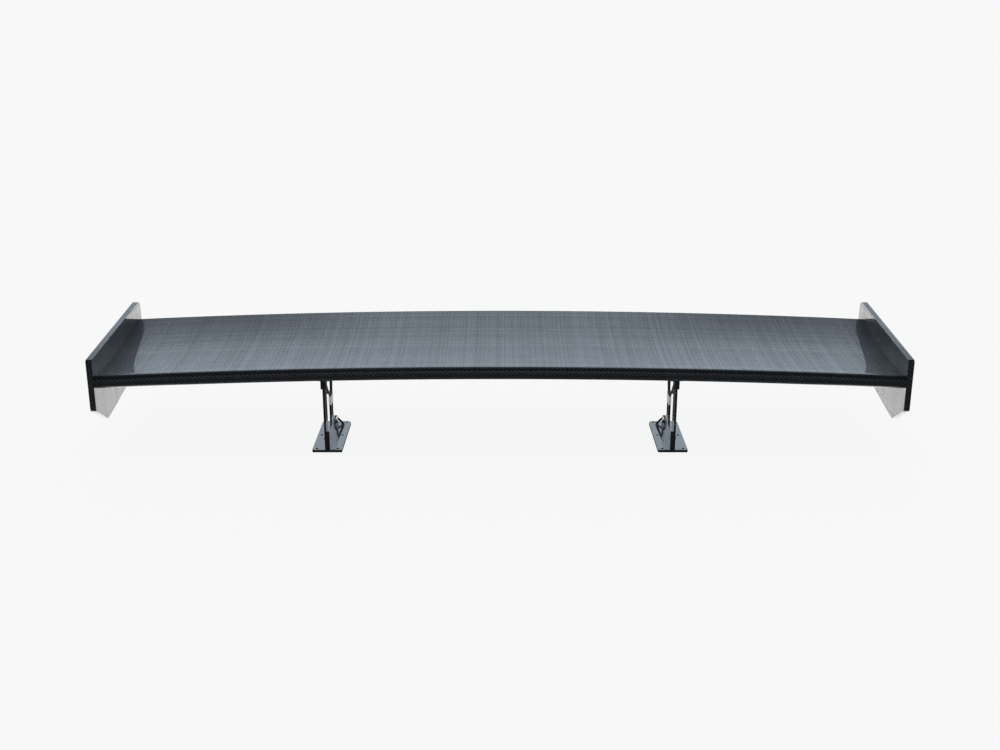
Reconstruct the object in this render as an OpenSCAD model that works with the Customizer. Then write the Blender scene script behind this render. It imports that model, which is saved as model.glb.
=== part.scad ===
// Racing rear wing: an arched two-skin carbon blade between two end plates, on two plate
// uprights with bolt-down feet. X runs along the span, Y from front to rear, and Z is up from
// the surface the feet stand on. The blade tilts about the front bolts of the uprights.

/* [Blade] */
// Width over the outer faces of the end plates
wing_w = 1500; // [1300:10:1700]
// Chord from the nose to the trailing edge
chord = 313; // [300:1:316]
// How much higher the middle of the blade is than its ends
arch_rise = 17.7; // [14:0.1:22]
// Height of the middle of the nose at the blade's ends
blade_z = 160.5; // [158:0.1:162]
// Radius of the rounded nose
nose_r = 12; // [11:0.5:13]
// How much thicker than the nose the blade grows behind it, each way from its middle line
bulge = 3.5; // [2.5:0.1:4]
// How much the top surface rises from nose to trailing edge
top_rise = 23; // [20:0.5:26]
// Thickness of each carbon skin
skin_t = 2; // [1.5:0.1:2.5]

/* [End plates] */
// Length of an end plate, front to rear
plate_len = 333; // [328:1:340]
// Thickness of an end plate
plate_t = 11; // [8:0.5:14]
// Height of the plate's lowest corner above the ground
plate_low_z = 71; // [65:1:80]
// Height of the plate's highest corner above the ground
plate_top_z = 230; // [228:0.5:245]

/* [Uprights] */
// Distance from the middle of the wing to each upright plate
upright_x = 332; // [300:1:380]
// Thickness of an upright plate
upright_t = 4; // [3:0.5:6]
// Length of an upright plate, front to rear
upright_len = 108; // [106:1:112]
// Distance from the blade's nose to the front of the uprights
upright_y = 70; // [66:1:74]
// Height of the front pivot bolt
pivot_z = 145; // [144:0.5:145.5]

/* [Feet] */
// Width of a foot's base plate
foot_w = 57; // [54:1:66]
// Length of a foot's base plate
foot_len = 160; // [156:1:170]
// Thickness of a foot's base plate
foot_t = 4; // [3:0.5:5]
// Thickness of the rubber gasket under it
gasket_t = 1; // [0.5:0.5:2]
// Sideways distance between the two rows of foot holes
hole_gap_x = 40; // [38:1:42]
// Lengthways distance between neighbouring foot holes
hole_gap_y = 73; // [70:1:75]
// Diameter of the foot holes
foot_hole_d = 5.5; // [5:0.1:6.6]

/* [Adjustment] */
// Tilt of the blade below its rest angle that the slots allow, in degrees
tilt_down = 3; // [1:0.5:3]
// Tilt of the blade above its rest angle that the slots allow, in degrees
tilt_up = 8; // [4:0.5:8]

/* [Hidden] */

// Places shared by several parts. Y is counted from the nose until lead() moves it.
lead_y = -plate_len / 2;
half_span = wing_w / 2 - plate_t;
arch_r = (pow(half_span, 2) + pow(arch_rise, 2)) / (2 * arch_rise);
arch_fn = 2880;
sweep_angle = 2 * asin((half_span + 6) / arch_r);
base_z = gasket_t + foot_t;
fit = 0.06;
bond = 0.3;

// Bolts M6, end plate screws M5
bolt_r = 3;
screw_r = 2.5;
bolt_play = 0.2;
thread_play = 0.05;

// Aerofoil: a round nose, then a top that dips and rises to the trailing edge. Half thickness and
// heights at u, the distance back from the nose. shrink gives the same outline moved inwards.
trail_half = 1;
top_dip = 0.6;
function back(u) = max(u - nose_r, 0) / (chord - nose_r);
function top_line(u) = nose_r + top_rise * ((1 + top_dip) * pow(back(u), 2) - top_dip * back(u));
function half_at(u, shrink = 0) =
    let(w = back(u))
    u < nose_r ? sqrt(max(pow(nose_r - shrink, 2) - pow(nose_r - u, 2), 0)) :
        trail_half + (nose_r - trail_half) * (1 - pow(w, 1.8)) + bulge * pow(w, 2) * pow(1 - w, 3) * 28.9 - shrink;
function mid_line(u) = top_line(u) - (u < nose_r ? nose_r : half_at(u));
function upper_at(u, shrink = 0) = mid_line(u) + max(half_at(u, shrink), 0);
function lower_at(u, shrink = 0) = mid_line(u) - max(half_at(u, shrink), 0);

// Stations along the chord: even steps of angle round the nose, then even lengths
nose_steps = 12;
tail_steps = 18;
stations = concat(
    [for (i = [0:nose_steps]) nose_r * (1 - cos(90 * i / nose_steps))],
    [for (i = [1:tail_steps]) nose_r + (chord - nose_r) * i / tail_steps]
);
last = len(stations) - 1;
// The hollow between the skins starts and ends where the blade is thick enough for it
hollow = [for (u = stations) if (half_at(u, skin_t) > 0.8) u];
hollow_last = len(hollow) - 1;

// A closed outline with round corners: corners holds [x, y, radius]
arc_steps = 6;
function unit(v) = v / norm(v);
function corner_arc(a, b, c, r) =
    let(
        p = [b[0], b[1]],
        to_a = unit([a[0], a[1]] - p),
        to_c = unit([c[0], c[1]] - p),
        half_turn = acos(to_a * to_c) / 2,
        centre = p + unit(to_a + to_c) * r / sin(half_turn),
        start = p + to_a * r / tan(half_turn) - centre,
        end = p + to_c * r / tan(half_turn) - centre,
        swing = acos(start * end / (r * r))
    )
    [for (i = [0:arc_steps])
        centre + (start * sin(swing * (1 - i / arc_steps)) + end * sin(swing * i / arc_steps)) / sin(swing)];
function rounded(corners) = [
    for (i = [0:len(corners) - 1])
        let(
            n = len(corners),
            a = corners[(i + n - 1) % n],
            b = corners[i],
            c = corners[(i + 1) % n]
        )
        for (q = b[2] > 0 ? corner_arc(a, b, c, b[2]) : [[b[0], b[1]]]) q
];

// Moves a part drawn with Y from the nose into the part's own frame
module lead() {
    translate([0, lead_y, 0]) children();
}

// Extrudes an outline drawn as [distance from nose, height] to thickness t, centred on x
module side_plate(x, t) {
    lead() translate([x - t / 2, 0, 0]) rotate([90, 0, 90]) linear_extrude(t) children();
}

// A round bar along X from x_from to x_to
module cross_bar(x_from, x_to, y, z, r) {
    lead() translate([x_from, y, z]) rotate([0, 90, 0]) cylinder(h = x_to - x_from, r = r, $fn = 48);
}

// Sweeps an aerofoil outline, drawn as [distance from nose, height], along the arch
module arch_sweep(x_from, x_to) {
    mid_z = blade_z + arch_rise - arch_r;
    intersection() {
        lead() translate([0, 0, mid_z]) rotate([-90, 0, 0]) rotate([0, 0, -90 - sweep_angle / 2])
            rotate_extrude(angle = sweep_angle, $fn = arch_fn)
                translate([arch_r, 0]) mirror([0, 1]) rotate(-90) children();
        translate([x_from, lead_y - 10, 0]) cube([x_to - x_from, chord + 20, 400]);
    }
}

// Height of the blade's middle line at x, above its height at the ends
function arch_at(x) = sqrt(arch_r * arch_r - x * x) - arch_r + arch_rise;

// A short straight block of an aerofoil outline, w wide, centred on x and tilted to follow the arch
module arch_block(x, w) {
    lead() translate([x, 0, blade_z + arch_at(x)]) rotate([0, asin(x / arch_r), 0])
        translate([-w / 2, 0, 0]) rotate([90, 0, 90]) linear_extrude(w) children();
}

module upper_outline() {
    polygon(concat(
        [for (u = stations) [u, upper_at(u)]],
        [for (i = [last:-1:0]) if (stations[i] > hollow[hollow_last]) [stations[i], mid_line(stations[i])]],
        [for (i = [hollow_last:-1:0]) [hollow[i], upper_at(hollow[i], skin_t)]],
        [for (i = [last:-1:1]) if (stations[i] < hollow[0]) [stations[i], mid_line(stations[i])]]
    ));
}

module lower_outline() {
    polygon(concat(
        [for (u = stations) [u, lower_at(u)]],
        [for (i = [last:-1:0]) if (stations[i] > hollow[hollow_last]) [stations[i], mid_line(stations[i])]],
        [for (i = [hollow_last:-1:0]) [hollow[i], lower_at(hollow[i], skin_t)]],
        [for (i = [last:-1:1]) if (stations[i] < hollow[0]) [stations[i], mid_line(stations[i])]]
    ));
}

// The space between the skins from u_from to u_to, less a bond line all round
module core_outline(u_from, u_to) {
    steps = 8;
    us = [for (i = [0:steps]) u_from + (u_to - u_from) * i / steps];
    inset = skin_t + bond;
    polygon(concat(
        [for (u = us) [u, upper_at(u, inset)]],
        [for (i = [steps:-1:0]) [us[i], lower_at(us[i], inset)]]
    ));
}

// Blade skins

front_spar_y = 68;
rear_spar_y = 214;
spar_t = 4;
bracket_screw_ys = [100, 150];
bracket_screw_dx = 14;

module bracket_screw_places() {
    for (side = [-1, 1], y = bracket_screw_ys, dx = [-bracket_screw_dx, bracket_screw_dx])
        lead() translate([side * upright_x + dx, y, 0]) children();
}

module upper_skin() {
    color("#2a2f36") arch_sweep(-half_span, half_span) upper_outline();
}

module lower_skin() {
    color("#202329") difference() {
        arch_sweep(-half_span, half_span) lower_outline();
        bracket_screw_places() translate([0, 0, blade_z - 20]) cylinder(h = 38, r = bolt_r + 0.3, $fn = 48);
    }
}

// Inside the blade

module front_spar() {
    color("#1b1d20") arch_sweep(-half_span + 16, half_span - 16) core_outline(front_spar_y, front_spar_y + spar_t);
}

module rear_spar() {
    color("#1b1d20") arch_sweep(-half_span + 16, half_span - 16) core_outline(rear_spar_y, rear_spar_y + spar_t);
}

rib_w = 44;
insert_r = 4.5;
module mount_ribs() {
    color("#c9b07c") for (side = [-1, 1]) difference() {
        arch_block(side * upright_x, rib_w) core_outline(front_spar_y + spar_t + bond, rear_spar_y - bond);
        bracket_screw_places() cylinder(h = 300, r = insert_r + thread_play, $fn = 48);
    }
}

// Each insert stands just clear of the lower skin
insert_h = 12;
insert_rise = 1.6;
module mount_inserts() {
    color("#b5b8bc") for (side = [-1, 1], y = bracket_screw_ys, dx = [-bracket_screw_dx, bracket_screw_dx])
        lead() translate([side * upright_x + dx, y, blade_z + arch_at(upright_x) + lower_at(y, skin_t) + insert_rise])
            difference() {
                cylinder(h = insert_h, r = insert_r, $fn = 48);
                translate([0, 0, -1]) cylinder(h = insert_h + 2, r = bolt_r + thread_play, $fn = 48);
            }
}

end_rib_w = 14;
end_screw_ys = [62, 116, 170, 224];
module end_rib(side) {
    inner = half_span - end_rib_w;
    difference() {
        arch_sweep(side > 0 ? inner : -half_span + bond, side > 0 ? half_span - bond : -inner)
            core_outline(50, 240);
        for (y = end_screw_ys)
            cross_bar(-wing_w, wing_w, y, blade_z + mid_line(y), screw_r + thread_play);
    }
}
module left_end_rib() {
    color("#c4c7ca") end_rib(-1);
}
module right_end_rib() {
    color("#c4c7ca") end_rib(1);
}

// End plates, with four countersunk screws each into the end ribs

plate_front_low = 108;
plate_front_top = 205;
plate_rear_low = 113;
plate_low_y = 62;
head_r = 5;
head_h = 2.8;

module end_plate_outline() {
    polygon(rounded([
        [0, plate_front_low, 9],
        [0, plate_front_top, 5],
        [plate_len, plate_top_z, 12],
        [plate_len, plate_rear_low, 15],
        [plate_low_y, plate_low_z, 9]
    ]));
}

// One countersunk screw in the right-hand plate, grown all round by play
module end_screw(y, play) {
    z = blade_z + mid_line(y);
    outer = wing_w / 2;
    cross_bar(outer - plate_t - end_rib_w + 1 - play, outer - 0.5, y, z, screw_r + play);
    lead() translate([outer - head_h - 0.2, y, z]) rotate([0, 90, 0])
        cylinder(h = head_h, r1 = screw_r + play, r2 = head_r + play, $fn = 48);
}

module end_plate() {
    difference() {
        side_plate(wing_w / 2 - plate_t / 2, plate_t) end_plate_outline();
        for (y = end_screw_ys) {
            end_screw(y, bolt_play);
            cross_bar(wing_w / 2 - 0.21, wing_w / 2 + 1, y, blade_z + mid_line(y), head_r + bolt_play);
        }
    }
}
module left_end_plate() {
    color("#1f2328") mirror([1, 0, 0]) end_plate();
}
module right_end_plate() {
    color("#1f2328") end_plate();
}

module end_plate_screws() {
    color("#3a3d41") for (side = [0, 1], y = end_screw_ys)
        mirror([side, 0, 0]) difference() {
            end_screw(y, 0);
            lead() translate([wing_w / 2 - 2.4, y, blade_z + mid_line(y)]) rotate([0, 90, 0])
                cylinder(h = 4, r = 1.7, $fn = 6);
        }
}

// Brackets under the blade: a flange that follows the underside, and two cheeks round the upright

pivot_y = upright_y + 8;
adjuster_y = pivot_y + 97;
adjuster_z = pivot_z + 3;
adjuster_reach = norm([adjuster_y - pivot_y, adjuster_z - pivot_z]);
adjuster_angle = atan2(adjuster_z - pivot_z, adjuster_y - pivot_y);
cheek_t = 3;
cheek_gap = 0.12;
cheek_in = upright_t / 2 + cheek_gap;
cheek_out = cheek_in + cheek_t;
bracket_w = 46;
bracket_front = upright_y + 2;
bracket_rear = upright_y + 118;
flange_t = 4;
slot_r = bolt_r + bolt_play;

flange_steps = 12;
flange_us = [for (i = [0:flange_steps]) bracket_front + (bracket_rear - bracket_front) * i / flange_steps];

module flange_outline() {
    polygon(concat(
        [for (u = flange_us) [u, lower_at(u) - bolt_play]],
        [for (i = [flange_steps:-1:0]) [flange_us[i], lower_at(flange_us[i]) - bolt_play - flange_t]]
    ));
}

// The cheeks reach up to the middle of the flange
module cheek_outline() {
    top = blade_z + arch_at(upright_x) - bolt_play - flange_t / 2;
    difference() {
        polygon(concat(
            [for (u = flange_us) [u, top + lower_at(u)]],
            rounded([
                [bracket_rear, pivot_z + 10, 0],
                [bracket_rear, pivot_z - 16, 6],
                [bracket_rear - 25, pivot_z - 17, 6],
                [bracket_rear - 37, pivot_z, 8],
                [pivot_y + 12, pivot_z, 6],
                [pivot_y + 5, pivot_z - 20, 4],
                [upright_y - 0.5, pivot_z - 20, 4],
                [upright_y - 0.5, pivot_z + 4, 3],
                [bracket_front, pivot_z + 7, 0]
            ])
        ));
        translate([pivot_y, pivot_z]) circle(r = bolt_r + fit, $fn = 64);
        adjuster_slot();
    }
}

// The curved slot: part of a ring round the pivot, with round ends
slot_steps = 8;
module adjuster_slot() {
    low = adjuster_angle - tilt_up - 0.3;
    high = adjuster_angle + tilt_down + 0.3;
    function on_ring(r, a) = [pivot_y, pivot_z] + r * [cos(a), sin(a)];
    function step(from, to, i) = from + (to - from) * i / slot_steps;
    polygon(concat(
        [for (i = [0:slot_steps]) on_ring(adjuster_reach + slot_r, step(low, high, i))],
        [for (i = [1:slot_steps - 1])
            on_ring(adjuster_reach, high) + slot_r * [cos(high + step(0, 180, i)), sin(high + step(0, 180, i))]],
        [for (i = [0:slot_steps]) on_ring(adjuster_reach - slot_r, step(high, low, i))],
        [for (i = [1:slot_steps - 1])
            on_ring(adjuster_reach, low) + slot_r * [cos(low + step(180, 360, i)), sin(low + step(180, 360, i))]]
    ));
}

module bracket(side) {
    x = side * upright_x;
    difference() {
        union() {
            arch_block(x, bracket_w) flange_outline();
            for (s = [-1, 1]) side_plate(x + s * (cheek_in + cheek_t / 2), cheek_t) cheek_outline();
        }
        bracket_screw_places() translate([0, 0, blade_z - 20]) cylinder(h = 60, r = bolt_r + bolt_play, $fn = 48);
    }
}
module left_bracket() {
    color("#15171a") bracket(-1);
}
module right_bracket() {
    color("#15171a") bracket(1);
}

// A hex socket cap screw pointing up, its head's top face at z = 0
module cap_screw(length, r, cap_r, cap_h) {
    difference() {
        union() {
            translate([0, 0, -cap_h]) cylinder(h = cap_h, r = cap_r, $fn = 48);
            cylinder(h = length, r = r, $fn = 48);
        }
        translate([0, 0, -cap_h - 1]) cylinder(h = cap_h * 0.6 + 1, r = r * 0.95, $fn = 6);
    }
}

bracket_screw_len = 22;
module bracket_screws() {
    color("#8a8d91") for (side = [-1, 1], y = bracket_screw_ys, dx = [-bracket_screw_dx, bracket_screw_dx]) {
        seat = blade_z + min(arch_at(upright_x + dx), arch_at(upright_x - dx)) + lower_at(y) - flange_t - 1.3;
        lead() translate([side * upright_x + dx, y, seat]) cap_screw(bracket_screw_len, bolt_r, 5, 4);
    }
}

// Pivot and adjuster bolts: heads outboard, nuts inboard, a washer under each

washer_t = 1;
washer_gap = 0.05;

// A bolt along X. grip is half the thickness that it clamps; the head is on the +X side.
module cross_bolt(x, y, z, grip, r, cap_r, cap_h, tail) {
    seat = grip + washer_t + 2 * washer_gap;
    lead() translate([x, y, z]) rotate([0, 90, 0]) difference() {
        union() {
            translate([0, 0, -seat - tail]) cylinder(h = 2 * seat + tail, r = r, $fn = 48);
            translate([0, 0, seat]) cylinder(h = cap_h, r = cap_r, $fn = 48);
        }
        translate([0, 0, seat + cap_h * 0.4]) cylinder(h = cap_h, r = r * 0.95, $fn = 6);
    }
}

module cross_nut(x, y, z, grip, r, across, height) {
    lead() translate([x - grip - washer_t - 2 * washer_gap - height, y, z]) rotate([0, 90, 0]) difference() {
        cylinder(h = height, r = across / 2 / cos(30), $fn = 6);
        translate([0, 0, -1]) cylinder(h = height + 2, r = r + thread_play, $fn = 48);
    }
}

module cross_washers(x, y, z, grip, r, outer_r) {
    for (s = [-1, 1])
        lead() translate([x + s * (grip + washer_gap + washer_t / 2), y, z]) rotate([0, 90, 0]) difference() {
            cylinder(h = washer_t, r = outer_r, center = true, $fn = 48);
            cylinder(h = 2 * washer_t, r = r + bolt_play, center = true, $fn = 48);
        }
}

module both_sides() {
    children();
    mirror([1, 0, 0]) children();
}

module pivot_bolts() {
    color("#8a8d91") both_sides() cross_bolt(upright_x, pivot_y, pivot_z, cheek_out, bolt_r, 5, 4, 7);
}
module pivot_nuts() {
    color("#9a9da1") both_sides() cross_nut(upright_x, pivot_y, pivot_z, cheek_out, bolt_r, 10, 5);
}
module pivot_washers() {
    color("#a5a8ac") both_sides() cross_washers(upright_x, pivot_y, pivot_z, cheek_out, bolt_r, 6);
}
module adjuster_bolts() {
    color("#8a8d91") both_sides() cross_bolt(upright_x, adjuster_y, adjuster_z, cheek_out, bolt_r, 5, 4, 7);
}
module adjuster_nuts() {
    color("#9a9da1") both_sides() cross_nut(upright_x, adjuster_y, adjuster_z, cheek_out, bolt_r, 10, 5);
}
module adjuster_washers() {
    color("#a5a8ac") both_sides() cross_washers(upright_x, adjuster_y, adjuster_z, cheek_out, bolt_r, 6);
}

// Uprights: laser-cut plates with a tall window between two legs and an open notch at the top

foot_bolt_ys = [upright_y + 14, upright_y + 95];
foot_bolt_z = base_z + 18;
front_leg = 28;
rear_leg_y = upright_y + 82;
rear_y = upright_y + upright_len;
arm_y = upright_y + 104;
arm_rear_y = upright_y + 116;
lug_r = 8;

module upright_outline() {
    difference() {
        union() {
            polygon(rounded([
                [upright_y, base_z, 0],
                [rear_y, base_z, 0],
                [rear_y, pivot_z - 54, 8],
                [arm_rear_y - 0.5, pivot_z - 30, 8],
                [arm_rear_y - 0.5, adjuster_z, 0],
                [pivot_y, pivot_z, 0],
                [upright_y, pivot_z, 0]
            ]));
            translate([pivot_y, pivot_z]) circle(r = lug_r, $fn = 64);
            translate([adjuster_y, adjuster_z]) circle(r = lug_r, $fn = 64);
        }
        translate([pivot_y, pivot_z]) circle(r = bolt_r + fit, $fn = 64);
        translate([adjuster_y, adjuster_z]) circle(r = bolt_r + fit, $fn = 64);
        for (y = foot_bolt_ys) translate([y, foot_bolt_z]) circle(r = bolt_r + bolt_play, $fn = 48);
        // Tall window between the legs
        polygon(rounded([
            [upright_y + front_leg, base_z + 29, 5],
            [rear_leg_y, base_z + 29, 5],
            [rear_leg_y, pivot_z - 58, 4],
            [upright_y + front_leg, pivot_z - 34, 4]
        ]));
        // Open notch between the front lug and the rear arm
        polygon(rounded([
            [upright_y + 22, pivot_z - 8, 3],
            [upright_y + 59, pivot_z - 42, 5],
            [upright_y + 97, pivot_z - 55, 4],
            [arm_y - 6, pivot_z - 45, 4],
            [arm_y - 6, adjuster_z + 20, 0],
            [upright_y + 22, adjuster_z + 20, 0]
        ]));
    }
}

module upright(side) {
    side_plate(side * upright_x, upright_t) upright_outline();
}
module left_upright() {
    color("#101214") upright(-1);
}
module right_upright() {
    color("#101214") upright(1);
}

// A plain pale vinyl band wrapped round each upright's rear leg
band_t = 0.4;
band_h = 17;
band_z = base_z + 61.5;
band_gap = 0.02;
module band(side) {
    long = rear_y - rear_leg_y + 2 * band_gap;
    wide = upright_t + 2 * band_gap;
    lead() translate([side * upright_x, (rear_leg_y + rear_y) / 2, band_z]) linear_extrude(band_h) difference() {
        square([wide + 2 * band_t, long + 2 * band_t], center = true);
        square([wide, long], center = true);
    }
}
module left_band() {
    color("#d8d8d8") band(-1);
}
module right_band() {
    color("#d8d8d8") band(1);
}

// Feet: base plate, upright flange along the inboard face of the upright, and a rear gusset that
// stands aslant between the flange and the base plate

flange_h = 37;
foot_flange_t = 6;
flange_in = upright_x - upright_t / 2 - foot_flange_t;
foot_x = upright_x - 2;
gusset_t = 3;
gusset_turn = 116.6;
foot_front = upright_y - 2;
flange_rear = upright_y + 118;
foot_mid_y = foot_front + foot_len / 2;
hole_r = foot_hole_d / 2;

module foot_plate_outline() {
    corner = 8;
    difference() {
        polygon(rounded([
            [-foot_w / 2, foot_front, 3],
            [foot_w / 2, foot_front, 3],
            [foot_w / 2, foot_front + foot_len, corner],
            [-foot_w / 2, foot_front + foot_len, corner]
        ]));
        for (i = [-1, 1], j = [-1:1])
            translate([i * hole_gap_x / 2, foot_mid_y + j * hole_gap_y]) circle(r = hole_r, $fn = 48);
    }
}

// Drawn as [distance from the flange, height above the base plate]
module gusset_outline() {
    difference() {
        polygon([[-3, -1], [25, -1], [25, 3], [0, 26], [-3, 26]]);
        polygon(rounded([[3, 3, 1], [20, 3, 1], [3, 19, 1]]));
    }
}

// The right-hand foot
module foot() {
    difference() {
        union() {
            lead() translate([foot_x, 0, gasket_t]) linear_extrude(foot_t) foot_plate_outline();
            side_plate(flange_in + foot_flange_t / 2, foot_flange_t) polygon(rounded([
                [foot_front, base_z - 1, 0],
                [foot_front, base_z + flange_h, 2],
                [upright_y + 90, base_z + flange_h, 6],
                [flange_rear, base_z + flange_h - 10, 3],
                [flange_rear, base_z - 1, 0]
            ]));
            lead() translate([flange_in, flange_rear - 2, base_z]) rotate([90, 0, gusset_turn])
                linear_extrude(gusset_t) gusset_outline();
        }
        for (y = foot_bolt_ys) cross_bar(flange_in - 1, upright_x, y, foot_bolt_z, bolt_r + thread_play);
    }
}
module left_foot() {
    color("#14171a") mirror([1, 0, 0]) foot();
}
module right_foot() {
    color("#14171a") foot();
}

module foot_gaskets() {
    color("#1c1c1c") both_sides() lead() translate([foot_x, 0, 0]) linear_extrude(gasket_t) foot_plate_outline();
}

// Button head screws from outboard through the upright into the threaded flange
button_r = 5;
button_h = 2.4;
module foot_screws() {
    seat = upright_x + upright_t / 2 + washer_gap;
    color("#1b1c1e") both_sides() for (y = foot_bolt_ys) difference() {
        union() {
            cross_bar(flange_in + 0.5, seat + 1, y, foot_bolt_z, bolt_r);
            lead() translate([seat, y, foot_bolt_z]) rotate([0, 90, 0])
                cylinder(h = button_h, r1 = button_r, r2 = button_r * 0.6, $fn = 48);
        }
        lead() translate([seat + button_h - 1.4, y, foot_bolt_z]) rotate([0, 90, 0])
            cylinder(h = 2, r = 2, $fn = 6);
    }
}

upper_skin();
lower_skin();
front_spar();
rear_spar();
mount_ribs();
mount_inserts();
left_end_rib();
right_end_rib();
left_end_plate();
right_end_plate();
end_plate_screws();
left_bracket();
right_bracket();
bracket_screws();
pivot_bolts();
pivot_nuts();
pivot_washers();
left_upright();
right_upright();
adjuster_bolts();
adjuster_nuts();
adjuster_washers();
left_foot();
right_foot();
foot_screws();
foot_gaskets();
left_band();
right_band();
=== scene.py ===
import math

import bmesh
import bpy
from mathutils import Matrix, Vector


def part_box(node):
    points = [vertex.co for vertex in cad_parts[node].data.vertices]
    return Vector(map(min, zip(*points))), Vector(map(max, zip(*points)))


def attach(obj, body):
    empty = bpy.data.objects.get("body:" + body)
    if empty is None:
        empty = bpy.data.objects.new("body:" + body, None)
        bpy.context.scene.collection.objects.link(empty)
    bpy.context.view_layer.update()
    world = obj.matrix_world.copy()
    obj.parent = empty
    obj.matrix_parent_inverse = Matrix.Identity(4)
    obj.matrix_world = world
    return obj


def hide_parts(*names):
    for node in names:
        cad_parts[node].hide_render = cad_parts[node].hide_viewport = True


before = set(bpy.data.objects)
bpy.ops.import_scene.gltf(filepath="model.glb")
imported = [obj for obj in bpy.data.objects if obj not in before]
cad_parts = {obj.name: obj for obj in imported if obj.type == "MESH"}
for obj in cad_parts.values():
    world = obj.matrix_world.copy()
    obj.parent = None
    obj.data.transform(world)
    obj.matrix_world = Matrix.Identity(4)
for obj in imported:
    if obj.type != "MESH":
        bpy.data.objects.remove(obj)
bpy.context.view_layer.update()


# Blade skins. The blade is two moulded carbon shells, bonded along the nose and the trailing edge and
# lacquered. Each skin is the outline of its half of the aerofoil, two millimetres thick, spun through
# the shallow arch of the span and cut off square where the end plates start.
skin_low, skin_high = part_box("upper_skin")
half_span = skin_high.x
nose_y = skin_low.y
chord = skin_high.y - skin_low.y
nose_r = 0.012
bulge = 0.0035
bulge_scale = 28.9  # brings the swell to 1 at its peak
taper = 1.8
top_rise = 0.023
top_dip = 0.6
trail_half = 0.001
skin_t = 0.002
least_gap = 0.0008
end_spare = 0.004
arch_rise = 0.0177
arch_radius = (half_span ** 2 + arch_rise ** 2) / (2 * arch_rise)
blade_mid_z = 0.1605
span_steps = 72
tow_width = 0.002
# The lighter of these two carbon colours is a painted sheen, for the tows that catch the light
carbon_dark = (0.004, 0.0045, 0.006, 1)
carbon_lit_sheen = (0.052, 0.058, 0.068, 1)


def half_at(u, shrink=0.0):
    """Half thickness at u, the distance back from the nose."""
    if u < nose_r:
        return math.sqrt(max((nose_r - shrink) ** 2 - (nose_r - u) ** 2, 0))
    w = (u - nose_r) / (chord - nose_r)
    swell = bulge * w ** 2 * (1 - w) ** 3 * bulge_scale
    return trail_half + (nose_r - trail_half) * (1 - w ** taper) + swell - shrink


def mid_line(u):
    """Height of the middle of the section above the mid-span reference."""
    w = max(u - nose_r, 0) / (chord - nose_r)
    top = nose_r + top_rise * ((1 + top_dip) * w ** 2 - top_dip * w)
    return top - (nose_r if u < nose_r else half_at(u))


nose_steps = 20
chord_steps = 40
nose_turns = [math.radians(90) * i / nose_steps for i in range(nose_steps)]
blade_stations = [nose_r * (1 - math.cos(turn)) for turn in nose_turns]
blade_stations += [nose_r + (chord - nose_r) * i / chord_steps for i in range(chord_steps + 1)]


def spun_skin(name, side):
    """side is 1 for the upper skin and -1 for the lower one."""
    inner = [u for u in blade_stations if half_at(u, skin_t) > least_gap]
    outline, run = [], 0.0
    for u in blade_stations:
        point = (u, mid_line(u) + side * half_at(u))
        if outline:
            run += math.dist(point, outline[-1][:2])
        outline.append((*point, side * run))
    edge_run = outline[-1][2]
    outline += [(u, mid_line(u), edge_run) for u in reversed(blade_stations) if u > inner[-1]]
    outline += [(u, mid_line(u) + side * half_at(u, skin_t), edge_run) for u in reversed(inner)]
    outline += [(u, mid_line(u), 0.0) for u in reversed(blade_stations) if 0 < u < inner[0]]

    bm = bmesh.new()
    run_layer = bm.verts.layers.float.new("run")
    verts = []
    for u, z, run in outline:
        v = bm.verts.new((0, nose_y + u, blade_mid_z + arch_rise + z))
        v[run_layer] = run
        verts.append(v)
    for a, b in zip(verts, verts[1:] + verts[:1]):
        bm.edges.new((a, b))
    centre = Vector((0, 0, blade_mid_z + arch_rise - arch_radius))
    sweep = 2 * math.asin((half_span + end_spare) / arch_radius)
    bmesh.ops.rotate(bm, cent=centre, matrix=Matrix.Rotation(-sweep / 2, 3, "Y"), verts=bm.verts)
    bmesh.ops.spin(bm, geom=bm.edges[:], cent=centre, axis=(0, 1, 0), angle=sweep, steps=span_steps)
    for end in (-1, 1):
        cut = bmesh.ops.bisect_plane(
            bm, geom=bm.verts[:] + bm.edges[:] + bm.faces[:], dist=1e-7,
            plane_co=(end * half_span, 0, 0), plane_no=(end, 0, 0), clear_outer=True,
        )
        rim = [e for e in cut["geom_cut"] if isinstance(e, bmesh.types.BMEdge)]
        bmesh.ops.contextual_create(bm, geom=rim)
    bmesh.ops.recalc_face_normals(bm, faces=bm.faces)

    weave = bm.loops.layers.uv.new("weave")
    for face in bm.faces:
        face.smooth = True
        for loop in face.loops:
            loop[weave].uv = (loop.vert.co.x, loop.vert[run_layer])
    mesh = bpy.data.meshes.new(name)
    bm.to_mesh(mesh)
    bm.free()
    mesh.set_sharp_from_angle(angle=math.radians(35))
    piece = bpy.data.objects.new(name, mesh)
    bpy.context.collection.objects.link(piece)
    return piece


def maths(tree, operation, *values):
    """A Math node fed by sockets or numbers; returns its output."""
    node = tree.nodes.new("ShaderNodeMath")
    node.operation = operation
    for socket, value in zip(node.inputs, values):
        if isinstance(value, bpy.types.NodeSocket):
            tree.links.new(value, socket)
        else:
            socket.default_value = value
    return node.outputs[0]


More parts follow.
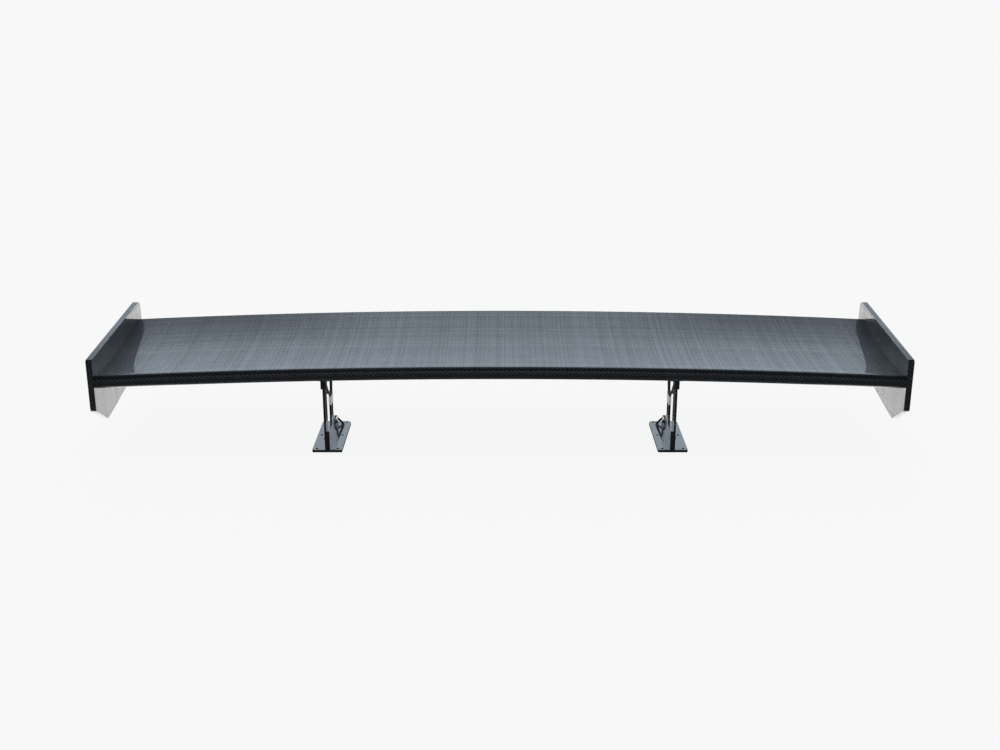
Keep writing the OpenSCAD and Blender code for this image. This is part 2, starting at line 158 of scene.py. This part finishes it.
def twill_group():
    """Two-by-two twill: floats two tows long, each step one tow over from the last."""
    tree = bpy.data.node_groups.new("carbon_twill", "ShaderNodeTree")
    tree.interface.new_socket("Vector", in_out="INPUT", socket_type="NodeSocketVector")
    tree.interface.new_socket("Tow Width", in_out="INPUT", socket_type="NodeSocketFloat")
    for output in ("Warp", "Height", "Fibre", "Tow Tone"):
        tree.interface.new_socket(output, in_out="OUTPUT", socket_type="NodeSocketFloat")
    ins, outs = tree.nodes.new("NodeGroupInput"), tree.nodes.new("NodeGroupOutput")
    split = tree.nodes.new("ShaderNodeSeparateXYZ")
    tree.links.new(ins.outputs["Vector"], split.inputs[0])
    u = maths(tree, "DIVIDE", split.outputs["X"], ins.outputs["Tow Width"])
    v = maths(tree, "DIVIDE", split.outputs["Y"], ins.outputs["Tow Width"])
    tow_u, tow_v = maths(tree, "FLOOR", u), maths(tree, "FLOOR", v)
    step = maths(tree, "FLOORED_MODULO", maths(tree, "ADD", tow_u, tow_v), 4.0)
    warp = maths(tree, "LESS_THAN", step, 1.5)
    weft = maths(tree, "SUBTRACT", 1.0, warp)
    in_u, in_v = maths(tree, "FRACT", u), maths(tree, "FRACT", v)

    def pick(if_warp, if_weft):
        warp_part = maths(tree, "MULTIPLY", if_warp, warp)
        return maths(tree, "ADD", warp_part, maths(tree, "MULTIPLY", if_weft, weft))

    across = maths(tree, "MULTIPLY_ADD", pick(in_v, in_u), 2.0, -1.0)
    warp_along = maths(tree, "ADD", step, in_u)
    weft_along = maths(tree, "ADD", maths(tree, "SUBTRACT", step, 2.0), in_v)
    along = maths(tree, "SUBTRACT", pick(warp_along, weft_along), 1.0)
    crown = maths(tree, "SUBTRACT", 1.0, maths(tree, "MULTIPLY", across, across))
    dip = maths(tree, "SUBTRACT", 1.0, maths(tree, "MULTIPLY", along, along))
    height = maths(tree, "MULTIPLY_ADD", crown, 0.6, maths(tree, "MULTIPLY", dip, 0.4))
    tree.links.new(warp, outs.inputs["Warp"])
    tree.links.new(height, outs.inputs["Height"])

    # No two tows are quite as flat or as full
    tones = []
    for index in (tow_v, tow_u):
        tone = tree.nodes.new("ShaderNodeTexWhiteNoise")
        tone.noise_dimensions = "1D"
        tree.links.new(index, tone.inputs["W"])
        tones.append(tone.outputs["Value"])
    tree.links.new(pick(*tones), outs.inputs["Tow Tone"])

    strands = tree.nodes.new("ShaderNodeCombineXYZ")
    tree.links.new(maths(tree, "MULTIPLY", pick(v, u), 9.0), strands.inputs["X"])
    tree.links.new(maths(tree, "MULTIPLY", pick(u, v), 0.6), strands.inputs["Y"])
    grain = tree.nodes.new("ShaderNodeTexNoise")
    grain.inputs["Scale"].default_value = 1.0
    grain.inputs["Detail"].default_value = 2.0
    tree.links.new(strands.outputs[0], grain.inputs["Vector"])
    tree.links.new(grain.outputs["Fac"], outs.inputs["Fibre"])
    return tree


carbon_twill = twill_group()


def carbon_material():
    mat = bpy.data.materials.new("lacquered_carbon")
    mat.use_nodes = True
    tree = mat.node_tree
    shader = tree.nodes["Principled BSDF"]
    uv = tree.nodes.new("ShaderNodeUVMap")
    uv.uv_map = "weave"
    twill = tree.nodes.new("ShaderNodeGroup")
    twill.node_tree = carbon_twill
    twill.inputs["Tow Width"].default_value = tow_width
    tree.links.new(uv.outputs["UV"], twill.inputs["Vector"])
    # Painted sheen: tows that lie along the span are coloured lighter than the ones that cross them,
    # standing in for the extra light they catch
    warp, height = twill.outputs["Warp"], twill.outputs["Height"]
    tow_tone = twill.outputs["Tow Tone"]
    light = maths(tree, "MULTIPLY_ADD", warp, 0.55, maths(tree, "MULTIPLY", twill.outputs["Fibre"], 0.35))
    light = maths(tree, "MULTIPLY", light, maths(tree, "MULTIPLY_ADD", tow_tone, 0.9, 0.55))
    # Painted shade: each tow is coloured darker towards its edges and ends, where it dips under its
    # neighbours
    shade = maths(tree, "MULTIPLY", light, maths(tree, "MULTIPLY_ADD", height, 0.6, 0.4))
    ramp = tree.nodes.new("ShaderNodeMix")
    ramp.data_type = "RGBA"
    ramp.inputs["A"].default_value = carbon_dark
    ramp.inputs["B"].default_value = carbon_lit_sheen
    tree.links.new(shade, ramp.inputs["Factor"])
    tree.links.new(ramp.outputs["Result"], shader.inputs["Base Color"])
    bump = tree.nodes.new("ShaderNodeBump")
    bump.inputs["Strength"].default_value = 0.5
    bump.inputs["Distance"].default_value = 0.00025
    tree.links.new(height, bump.inputs["Height"])
    tree.links.new(bump.outputs["Normal"], shader.inputs["Normal"])
    shader.inputs["Metallic"].default_value = 0.35
    shader.inputs["Roughness"].default_value = 0.38
    # The lacquer sinks a little between the tows, and the cloth lies a little unevenly
    place = tree.nodes.new("ShaderNodeTexCoord")
    lie = tree.nodes.new("ShaderNodeTexNoise")
    lie.inputs["Scale"].default_value = 26.0
    lie.inputs["Detail"].default_value = 3.0
    tree.links.new(place.outputs["Object"], lie.inputs["Vector"])
    tows = maths(tree, "MULTIPLY", height, maths(tree, "MULTIPLY_ADD", warp, 0.6, 0.4))
    print_through = maths(tree, "MULTIPLY_ADD", tows, 0.6, 0.18)
    lie_part = maths(tree, "MULTIPLY", lie.outputs["Fac"], 0.3)
    uneven = maths(tree, "ADD", lie_part, maths(tree, "MULTIPLY", tow_tone, 0.6))
    tree.links.new(maths(tree, "ADD", print_through, uneven), shader.inputs["Coat Weight"])
    shader.inputs["Specular IOR Level"].default_value = 0.2
    shader.inputs["Coat Roughness"].default_value = 0.03
    shader.inputs["Coat IOR"].default_value = 1.5
    return mat


lacquered_carbon = carbon_material()
for node, side in (("upper_skin", 1), ("lower_skin", -1)):
    skin = spun_skin(f"blade_{node}", side)
    skin.data.materials.append(lacquered_carbon)
    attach(skin, "blade")
    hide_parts(node)


# Inside the blade. Two bare carbon spars run the span, foam-filled ribs sit over the uprights with
# aluminium inserts, and aluminium ribs close the ends for the end plate screws.
def plain_material(name, colour, roughness, metallic=0.0, grain_scale=400.0, grain_depth=0.00005):
    """A finish whose colour and roughness drift a little, with a fine grain."""
    mottle = 0.15
    mat = bpy.data.materials.new(name)
    mat.use_nodes = True
    tree = mat.node_tree
    shader = tree.nodes["Principled BSDF"]
    place = tree.nodes.new("ShaderNodeTexCoord")
    drift = tree.nodes.new("ShaderNodeTexNoise")
    drift.inputs["Scale"].default_value = 35.0
    drift.inputs["Detail"].default_value = 4.0
    grain = tree.nodes.new("ShaderNodeTexNoise")
    grain.inputs["Scale"].default_value = grain_scale
    grain.inputs["Detail"].default_value = 3.0
    for noise in (drift, grain):
        tree.links.new(place.outputs["Object"], noise.inputs["Vector"])
    blend = tree.nodes.new("ShaderNodeMix")
    blend.data_type = "RGBA"
    blend.inputs["A"].default_value = (*[c * (1 - mottle) for c in colour], 1)
    blend.inputs["B"].default_value = (*[min(1, c * (1 + mottle)) for c in colour], 1)
    tree.links.new(drift.outputs["Fac"], blend.inputs["Factor"])
    tree.links.new(blend.outputs["Result"], shader.inputs["Base Color"])
    rough = maths(tree, "MULTIPLY_ADD", drift.outputs["Fac"], roughness * 0.4, roughness * 0.8)
    tree.links.new(rough, shader.inputs["Roughness"])
    bump = tree.nodes.new("ShaderNodeBump")
    bump.inputs["Strength"].default_value = 0.4
    bump.inputs["Distance"].default_value = grain_depth
    tree.links.new(grain.outputs["Fac"], bump.inputs["Height"])
    tree.links.new(bump.outputs["Normal"], shader.inputs["Normal"])
    shader.inputs["Metallic"].default_value = metallic
    return mat


def finish_node(node, mat):
    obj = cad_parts[node]
    obj.data.materials.clear()
    obj.data.materials.append(mat)


bare_carbon = plain_material("bare_carbon", (0.02, 0.02, 0.022), 0.5)
core_foam = plain_material("core_foam", (0.66, 0.55, 0.34), 0.8, grain_scale=900.0, grain_depth=0.0003)
machined_aluminium = plain_material("machined_aluminium", (0.78, 0.79, 0.80), 0.32, metallic=1.0)
for node in ("front_spar", "rear_spar"):
    finish_node(node, bare_carbon)
finish_node("mount_ribs", core_foam)
for node in ("mount_inserts", "left_end_rib", "right_end_rib"):
    finish_node(node, machined_aluminium)


# End plates. Each is a flat carbon sandwich cut to a five-sided outline, with its edges rounded and
# lacquered over, and four countersunk holes for the screws into the blade's end rib.
def softened_copy(node, name, radius):
    """The CAD part merged into one mesh, with its sharp edges rounded."""
    bm = bmesh.new()
    bm.from_mesh(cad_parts[node].data)
    bmesh.ops.remove_doubles(bm, verts=bm.verts, dist=2e-6)
    bmesh.ops.dissolve_limit(bm, angle_limit=math.radians(0.5), verts=bm.verts, edges=bm.edges)
    sharp = [e for e in bm.edges if e.is_manifold and e.calc_face_angle() > math.radians(35)]
    bmesh.ops.bevel(
        bm, geom=sharp, offset=radius, offset_type="OFFSET", segments=2, profile=0.5,
        affect="EDGES", clamp_overlap=True, material=-1,
    )
    bmesh.ops.triangulate(bm, faces=[f for f in bm.faces if len(f.verts) > 4])
    for face in bm.faces:
        face.smooth = True
    mesh = bpy.data.meshes.new(name)
    bm.to_mesh(mesh)
    bm.free()
    mesh.set_sharp_from_angle(angle=math.radians(40))
    piece = bpy.data.objects.new(name, mesh)
    bpy.context.collection.objects.link(piece)
    piece.modifiers.new("true_flats", "WEIGHTED_NORMAL").keep_sharp = True
    return piece


def lay_weave(piece):
    """Flat cloth on each side, and the same cloth turned over the edges."""
    uv = piece.data.uv_layers.new(name="weave")
    for poly in piece.data.polygons:
        facing = [abs(n) for n in poly.normal]
        flat = facing.index(max(facing))
        for i in poly.loop_indices:
            co = piece.data.vertices[piece.data.loops[i].vertex_index].co
            uv.data[i].uv = ((co.y, co.z), (co.x, co.z), (co.y, co.x))[flat]


for side in ("left", "right"):
    plate = softened_copy(f"{side}_end_plate", f"{side}_end_plate_shell", 0.0009)
    lay_weave(plate)
    plate.data.materials.append(lacquered_carbon)
    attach(plate, "blade")
    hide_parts(f"{side}_end_plate")

black_oxide = plain_material("black_oxide", (0.03, 0.03, 0.033), 0.38, metallic=0.6)
bright_zinc = plain_material("bright_zinc", (0.62, 0.63, 0.65), 0.28, metallic=1.0)
finish_node("end_plate_screws", black_oxide)


# Brackets under the blade. Each is a pressed flange that follows the underside and two cheeks that
# straddle the upright, powder coated gloss black, and held up by four cap screws.
def powder_coat():
    black = (0.008, 0.009, 0.010)
    mat = plain_material("gloss_powder_coat", black, 0.08, grain_scale=260.0, grain_depth=0.00001)
    shader = mat.node_tree.nodes["Principled BSDF"]
    shader.inputs["Coat Weight"].default_value = 1.0
    shader.inputs["Coat Roughness"].default_value = 0.06
    return mat


gloss_black = powder_coat()
for side in ("left", "right"):
    bracket = softened_copy(f"{side}_bracket", f"{side}_bracket_pressing", 0.0004)
    bracket.data.materials.append(gloss_black)
    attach(bracket, "blade")
    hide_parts(f"{side}_bracket")
finish_node("bracket_screws", bright_zinc)


# Pivot and adjuster fasteners. An M6 bolt at the front carries the blade and another at the rear
# clamps the slots, each with two washers and a nut.
for node in ("pivot_bolts", "adjuster_bolts"):
    finish_node(node, black_oxide)
for node in ("pivot_nuts", "pivot_washers", "adjuster_nuts", "adjuster_washers"):
    finish_node(node, bright_zinc)


# Uprights. Each is a laser-cut plate with a tall window behind its front leg and a V notch under the
# blade, powder coated gloss black. A plain pale vinyl band is wrapped round the rear leg.
for side in ("left", "right"):
    upright = softened_copy(f"{side}_upright", f"{side}_upright_plate", 0.0005)
    upright.data.materials.append(gloss_black)
    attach(upright, "uprights")
    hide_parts(f"{side}_upright")
pale_vinyl = plain_material("pale_vinyl", (0.70, 0.70, 0.70), 0.35)
for side in ("left", "right"):
    finish_node(f"{side}_band", pale_vinyl)


# Feet. Each is a base plate with six holes, a flange along the upright and a cut-out gusset behind,
# welded and powder coated, on a sheet rubber gasket. Button head screws hold the upright to it.
rubber_black = (0.018, 0.018, 0.018)
sheet_rubber = plain_material("sheet_rubber", rubber_black, 0.7, grain_scale=1200.0, grain_depth=0.0001)
for side in ("left", "right"):
    foot = softened_copy(f"{side}_foot", f"{side}_foot_weldment", 0.0005)
    foot.data.materials.append(gloss_black)
    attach(foot, "uprights")
    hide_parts(f"{side}_foot")
finish_node("foot_gaskets", sheet_rubber)
finish_node("foot_screws", black_oxide)


# Studio. A wide pale floor that glows evenly, a bright low sky that is dark overhead and on the
# camera's side, a broad overhead light and the camera.
floor_drop = 0.0002  # just under the feet, so the two faces never share a plane
floor_bm = bmesh.new()
bmesh.ops.create_circle(floor_bm, cap_ends=True, segments=96, radius=40)
floor_mesh = bpy.data.meshes.new("floor")
floor_bm.to_mesh(floor_mesh)
floor_bm.free()
floor = bpy.data.objects.new("floor", floor_mesh)
floor.location.z = -floor_drop
bpy.context.collection.objects.link(floor)
floor.visible_glossy = False
floor_mat = bpy.data.materials.new("pale_floor")
floor_mat.use_nodes = True
floor_shader = floor_mat.node_tree.nodes["Principled BSDF"]
floor_shader.inputs["Base Color"].default_value = (0.12, 0.12, 0.12, 1)
floor_shader.inputs["Roughness"].default_value = 1.0
floor_shader.inputs["Specular IOR Level"].default_value = 0.0
floor_shader.inputs["Emission Color"].default_value = (1, 1, 1, 1)
floor_shader.inputs["Emission Strength"].default_value = 0.895
floor.data.materials.append(floor_mat)

world = bpy.data.worlds.new("studio")
bpy.context.scene.world = world
world.use_nodes = True
sky = world.node_tree
place = sky.nodes.new("ShaderNodeTexCoord")
split = sky.nodes.new("ShaderNodeSeparateXYZ")
sky.links.new(place.outputs["Generated"], split.inputs[0])
ramp = sky.nodes.new("ShaderNodeValToRGB")
sky.links.new(split.outputs["Z"], ramp.inputs["Fac"])
sky_tint = (0.76, 0.88, 1.0)
stops = ((0.0, 0.66), (0.22, 0.68), (0.42, 0.80), (0.62, 0.95), (0.80, 0.20), (1.0, 0.12))
while len(ramp.color_ramp.elements) < len(stops):
    ramp.color_ramp.elements.new(0.5)
for element, (height, level) in zip(ramp.color_ramp.elements, stops):
    element.position = height
    element.color = (*[level * c for c in sky_tint], 1)


def fade(value, start, end):
    """0 below start, 1 above end, with a soft step between."""
    node = sky.nodes.new("ShaderNodeMapRange")
    node.interpolation_type = "SMOOTHSTEP"
    node.inputs["From Min"].default_value = start
    node.inputs["From Max"].default_value = end
    sky.links.new(value, node.inputs["Value"])
    return node.outputs["Result"]


aside = maths(sky, "ABSOLUTE", split.outputs["X"])
behind = fade(split.outputs["Y"], -0.2, 0.4)
above = fade(split.outputs["Z"], -0.02, 0.02)
# The sky dims far out to the sides, high on the flanks and on the camera's side
sky_level = maths(sky, "MULTIPLY_ADD", fade(aside, 0.295, 0.325), -0.65, 1.38)
high_flank = maths(sky, "MULTIPLY", fade(aside, 0.08, 0.22), fade(split.outputs["Z"], 0.35, 0.60))
sky_level = maths(sky, "MULTIPLY", sky_level, maths(sky, "MULTIPLY_ADD", high_flank, -0.5, 1.0))
sky_level = maths(sky, "MULTIPLY", sky_level, maths(sky, "MULTIPLY_ADD", behind, 0.75, 0.25))
# Below the horizon only two patches behind the wing are bright, for the end plates' inner faces
not_far = maths(sky, "SUBTRACT", 1.0, fade(aside, 0.40, 0.55))
flank = maths(sky, "MULTIPLY", fade(aside, 0.21, 0.26), not_far)
low_level = maths(sky, "MULTIPLY_ADD", maths(sky, "MULTIPLY", behind, flank), 1.9, 0.05)
shown = maths(sky, "MULTIPLY", sky_level, above)
low_shown = maths(sky, "MULTIPLY", low_level, maths(sky, "SUBTRACT", 1.0, above))
upper = sky.nodes.new("ShaderNodeVectorMath")
upper.operation = "SCALE"
sky.links.new(ramp.outputs["Color"], upper.inputs[0])
sky.links.new(shown, upper.inputs["Scale"])
total = sky.nodes.new("ShaderNodeVectorMath")
sky.links.new(upper.outputs[0], total.inputs[0])
sky.links.new(low_shown, total.inputs[1])
path = sky.nodes.new("ShaderNodeLightPath")
backdrop = sky.nodes.new("ShaderNodeMix")
backdrop.data_type = "RGBA"
sky.links.new(path.outputs["Is Camera Ray"], backdrop.inputs["Factor"])
sky.links.new(total.outputs[0], backdrop.inputs["A"])
backdrop.inputs["B"].default_value = (0.93, 0.93, 0.93, 1)
sky.links.new(backdrop.outputs["Result"], sky.nodes["Background"].inputs["Color"])

sun = bpy.data.objects.new("overhead", bpy.data.lights.new("overhead", "SUN"))
sun.data.energy = 0.6
sun.data.angle = math.radians(60)
sun.rotation_euler = (math.radians(20), 0, 0)
sun.visible_glossy = False
bpy.context.collection.objects.link(sun)

camera_back = 2.181
camera_height = 0.890
camera_pitch = 18.09
camera = bpy.data.objects.new("camera", bpy.data.cameras.new("camera"))
camera.data.sensor_width = 36
camera.data.lens = 45.53
camera.location = (0, nose_y - camera_back, camera_height)
camera.rotation_euler = (math.radians(90 - camera_pitch), 0, 0)
bpy.context.collection.objects.link(camera)
bpy.context.scene.camera = camera
bpy.context.scene.view_settings.view_transform = "Standard"
